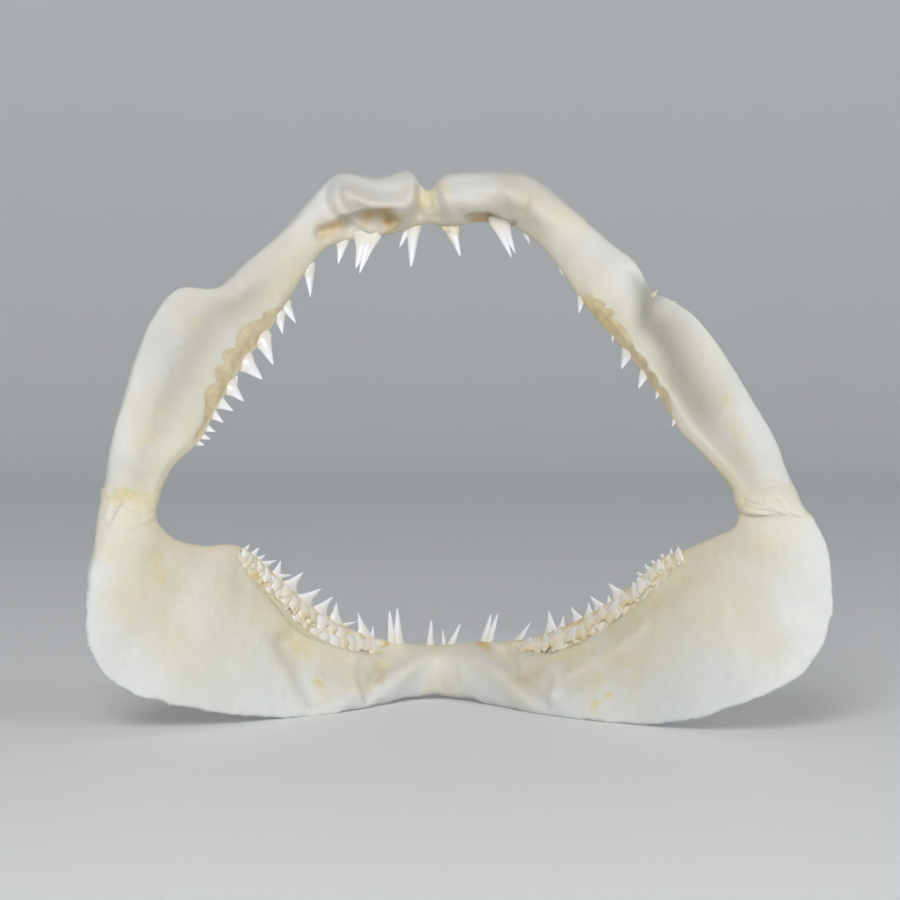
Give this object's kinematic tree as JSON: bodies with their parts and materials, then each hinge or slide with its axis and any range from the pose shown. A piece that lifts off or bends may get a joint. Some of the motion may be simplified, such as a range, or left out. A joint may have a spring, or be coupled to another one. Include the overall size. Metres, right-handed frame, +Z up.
{
  "type": "mako shark jaw",
  "caption": "Dried open jaw of a young mako shark, upper and lower halves with curved pointed teeth, standing on the edges of its lower jaw.",
  "frame": {"origin": "centre of the bounding box on the table that the lower jaw stands on", "axes": "+Z up, +Y towards the snout, so the inside of the mouth faces -Y, +X to the right of someone looking in from the throat"},
  "size_m": [0.284, 0.1276, 0.2207],
  "materials": {
    "cartilage": "dried cartilage, satin ivory with yellow oil stains",
    "tooth": "smooth glossy enamel",
    "gum": "dried tan gum, wrinkled"
  },
  "bodies": {
    "root": {"upper_jaw_left": "cartilage", "upper_jaw_right": "cartilage", "lower_jaw_left": "cartilage", "lower_jaw_right": "cartilage"}
  },
  "joints": []
}
